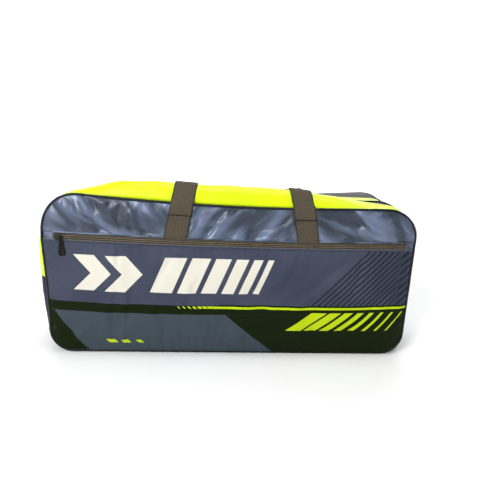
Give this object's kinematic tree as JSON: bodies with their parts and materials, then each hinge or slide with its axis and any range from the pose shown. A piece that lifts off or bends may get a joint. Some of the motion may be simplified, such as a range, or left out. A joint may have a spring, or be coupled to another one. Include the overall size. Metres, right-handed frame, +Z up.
{
  "type": "racket tournament bag",
  "caption": "Soft box-shaped racket bag with clamshell compartments either side of a divider, a zipped front pocket, puffed side strips and folding carry handles.",
  "frame": {"origin": "middle of the flat underside the bag stands on", "axes": "+X along the length to the bag's right as seen from the front, -Y towards the front panel with the pocket, +Z up"},
  "size_m": [0.776, 0.225, 0.3671],
  "materials": {
    "panel": "fine woven polyester, navy",
    "base_cloth": "heavy woven polyester, black",
    "lime": "glossy coated synthetic, lime",
    "lining": "plain lining cloth",
    "foam": "closed-cell foam sheet",
    "board": "matte stiffener board",
    "piping": "covered cord, satin black",
    "zip_tape": "woven zip tape",
    "zip_teeth": "moulded coil, satin",
    "webbing": "ribbed webbing, dark olive",
    "slider": "dark enamel",
    "puller": "moulded ribbed tag"
  },
  "bodies": {
    "main_body": {"bottom_panel": "base_cloth", "base_board_front": "board", "base_board_rear": "board", "divider_panel": "lining", "divider_piping": "piping", "rear_gusset_lime": "lime", "rear_gusset_side_left": "panel", "rear_gusset_side_right": "panel", "front_zip_tape_body": "zip_tape", "front_zip_teeth_body": "zip_teeth", "rear_zip_tape_body": "zip_tape", "rear_zip_teeth_body": "zip_teeth"},
    "front_lid": {"front_panel_lining": "lining", "front_panel_foam": "foam", "front_yoke_panel": "panel", "front_pocket_panel": "panel", "front_piping": "piping", "front_gusset_lime": "lime", "front_gusset_side_left": "panel", "front_gusset_side_right": "panel", "front_zip_tape_lid": "zip_tape", "front_zip_teeth_lid": "zip_teeth", "pocket_zip_tape_upper": "zip_tape", "pocket_zip_tape_lower": "zip_tape", "pocket_zip_teeth_upper": "zip_teeth", "pocket_zip_teeth_lower": "zip_teeth", "pocket_zip_end_tab_left": "panel", "pocket_zip_end_tab_right": "panel", "front_handle_anchor_left": "webbing", "front_handle_anchor_right": "webbing"},
    "rear_lid": {"rear_panel": "panel", "rear_panel_foam": "foam", "rear_panel_lining": "lining", "rear_piping": "piping", "rear_gusset_strip": "base_cloth", "rear_zip_tape_lid": "zip_tape", "rear_zip_teeth_lid": "zip_teeth", "rear_handle_anchor_left": "webbing", "rear_handle_anchor_right": "webbing"},
    "front_handle": {"front_handle_strap": "webbing"},
    "rear_handle": {"rear_handle_strap": "webbing"},
    "pocket_slider": {"pocket_zip_slider": "slider"},
    "pocket_puller": {"pocket_zip_puller": "puller"},
    "front_slider": {"front_zip_slider": "slider"},
    "front_puller": {"front_zip_puller": "puller"},
    "rear_slider": {"rear_zip_slider": "slider"},
    "rear_puller": {"rear_zip_puller": "puller"}
  },
  "joints": [
    {"name": "front_lid_hinge", "type": "hinge", "parent": "main_body", "child": "front_lid", "pos_m": [0, -0.098, 0.0033], "axis": [1, 0, 0], "range_deg": [0, 75]},
    {"name": "rear_lid_hinge", "type": "hinge", "parent": "main_body", "child": "rear_lid", "pos_m": [0, 0.098, 0.0033], "axis": [-1, 0, 0], "range_deg": [0, 75]},
    {"name": "front_handle_hinge", "type": "hinge", "parent": "front_lid", "child": "front_handle", "pos_m": [0, -0.1028, 0.3052], "axis": [1, 0, 0], "range_deg": [0, 140]},
    {"name": "rear_handle_hinge", "type": "hinge", "parent": "rear_lid", "child": "rear_handle", "pos_m": [0, 0.1031, 0.3062], "axis": [1, 0, 0], "range_deg": [0, 170]},
    {"name": "pocket_zip_slide", "type": "slide", "parent": "front_lid", "child": "pocket_slider", "axis": [1, 0, 0], "range_m": [0, 0.67]},
    {"name": "pocket_puller_hinge", "type": "hinge", "parent": "pocket_slider", "child": "pocket_puller", "pos_m": [-0.34, -0.1058, 0.247], "axis": [1, 0, 0], "range_deg": [-165, 0]},
    {"name": "front_zip_slide", "type": "slide", "parent": "main_body", "child": "front_slider", "axis": [0.9995, 0, 0.0317], "range_m": [0, 0.6]},
    {"name": "front_puller_hinge", "type": "hinge", "parent": "front_slider", "child": "front_puller", "pos_m": [-0.30018, -0.032, 0.32129], "axis": [0, -1, 0], "range_deg": [0, 170]},
    {"name": "rear_zip_slide", "type": "slide", "parent": "main_body", "child": "rear_slider", "axis": [0.9995, 0, 0.0317], "range_m": [0, 0.6]},
    {"name": "rear_puller_hinge", "type": "hinge", "parent": "rear_slider", "child": "rear_puller", "pos_m": [-0.30018, 0.062, 0.32129], "axis": [0, -1, 0], "range_deg": [0, 170]}
  ]
}
